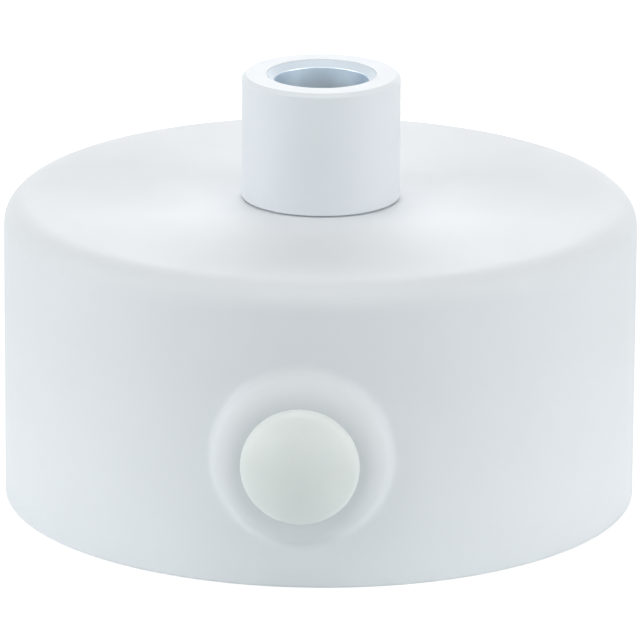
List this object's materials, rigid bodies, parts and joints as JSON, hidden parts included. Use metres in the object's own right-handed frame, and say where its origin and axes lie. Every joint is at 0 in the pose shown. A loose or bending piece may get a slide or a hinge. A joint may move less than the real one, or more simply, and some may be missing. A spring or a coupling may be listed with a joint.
{
  "type": "electrical ceiling rose",
  "caption": "Round white ceiling rose with a central cord-grip collar, a pressed side outlet closed by a domed plug, and bracket and terminals inside.",
  "frame": {"origin": "centre of the ceiling plane, in the plane of the cup's open rim and the bracket's feet, midway between the two fixing slots", "axes": "+Z away from the ceiling, through the nipple and the collar; the side outlet faces -Y; the fixing slots lie along X"},
  "size_m": [0.08, 0.0871, 0.0545],
  "materials": {
    "cup_paint": "satin",
    "collar_paint": "satin",
    "plug_nylon": "semi-gloss",
    "plated_steel": "zinc-plated",
    "bush_nylon": "matte",
    "housing_nylon": "matte",
    "sleeve_brass": "satin"
  },
  "bodies": {
    "base": {"cup": "cup_paint", "threaded_nipple": "plated_steel", "mounting_bracket": "plated_steel", "upper_lock_nut": "plated_steel", "lower_lock_nut": "plated_steel", "toothed_washer": "plated_steel", "nipple_edge_bush": "bush_nylon", "earth_saddle_washer": "plated_steel", "earth_screw": "plated_steel", "terminal_housing": "housing_nylon", "terminal_sleeve_live": "sleeve_brass", "terminal_sleeve_earth": "sleeve_brass", "terminal_sleeve_neutral": "sleeve_brass", "terminal_screw_live_lamp": "plated_steel", "terminal_screw_live_mains": "plated_steel", "terminal_screw_earth_lamp": "plated_steel", "terminal_screw_earth_mains": "plated_steel", "terminal_screw_neutral_lamp": "plated_steel", "terminal_screw_neutral_mains": "plated_steel", "terminal_fixing_screw_left": "plated_steel", "terminal_fixing_screw_right": "plated_steel"},
    "clamp": {"cord_clamp_bush": "bush_nylon"},
    "collar": {"cord_grip_collar": "collar_paint", "collar_grub_screw": "plated_steel"},
    "plug": {"side_outlet_plug": "plug_nylon"}
  },
  "joints": [
    {"name": "collar_rise", "type": "slide", "parent": "base", "child": "clamp", "axis": [0, 0, 1], "range_m": [0, 0.0065]},
    {"name": "collar_turn", "type": "hinge", "parent": "clamp", "child": "collar", "pos_m": [0, 0, 0.0465], "axis": [0, 0, 1], "range_deg": [0, 2340]},
    {"name": "side_plug_pull", "type": "slide", "parent": "base", "child": "plug", "axis": [0, -1, 0], "range_m": [0, 0.012]}
  ],
  "couplings": [
    {"joint": "collar_rise", "follows": "collar_turn", "m_per_rad": 0.00015915}
  ]
}
